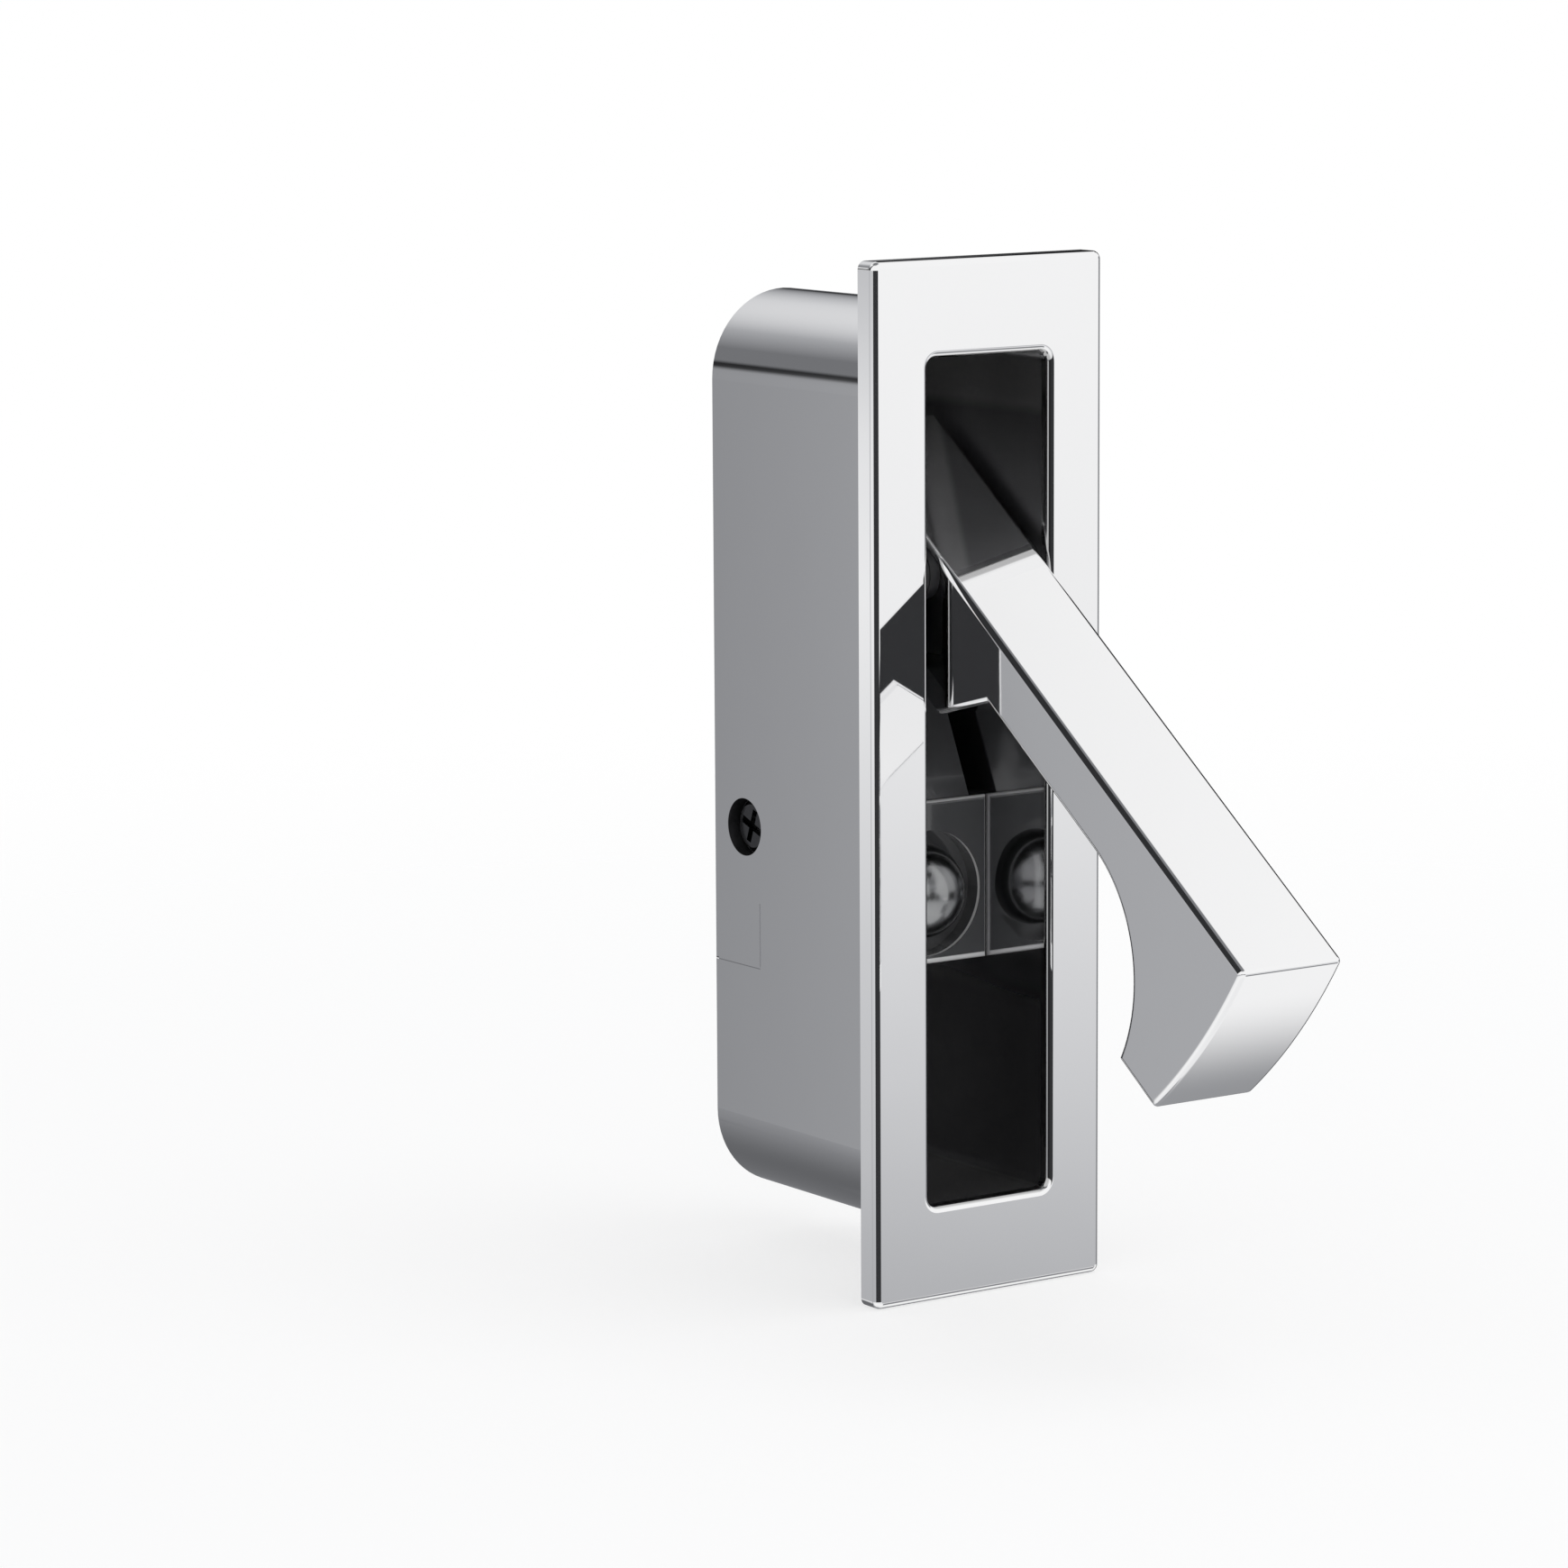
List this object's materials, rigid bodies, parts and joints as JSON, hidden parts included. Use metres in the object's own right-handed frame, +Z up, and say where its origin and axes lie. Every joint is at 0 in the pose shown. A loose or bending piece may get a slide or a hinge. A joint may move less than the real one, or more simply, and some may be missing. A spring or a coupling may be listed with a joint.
{
  "type": "sliding door edge pull",
  "caption": "Flush edge pull for a sliding door: slotted rectangular face plate, deep round-ended case behind it, and a hooked lever that swings out to be gripped.",
  "frame": {"origin": "centre of the face plate's back face, where it seats on the door's edge", "axes": "+Y into the door, so the plate's front looks along -Y; +Z up along the plate's length; +X to the right as seen from the front"},
  "size_m": [0.027, 0.0886, 0.1],
  "materials": {
    "body_chrome": "polished chrome plating on a zinc casting",
    "lever_chrome": "polished chrome plating on a zinc casting",
    "pin_steel": "ground steel",
    "washer_nylon": "black nylon",
    "block_plastic": "dark grey moulded plastic",
    "screw_steel": "zinc-plated steel",
    "cap_chrome": "polished chrome",
    "side_screw_steel": "blackened steel"
  },
  "bodies": {
    "case": {"body": "body_chrome", "pivot_pin": "pin_steel", "left_washer": "washer_nylon", "right_washer": "washer_nylon", "fixing_block": "block_plastic", "fixing_screw": "screw_steel", "screw_cap": "cap_chrome", "side_screw": "side_screw_steel"},
    "lever": {"lever": "lever_chrome"}
  },
  "joints": [
    {"name": "lever_swing", "type": "hinge", "parent": "case", "child": "lever", "pos_m": [0, 0.0016, 0.02], "axis": [1, 0, 0], "range_deg": [0, 54]}
  ]
}
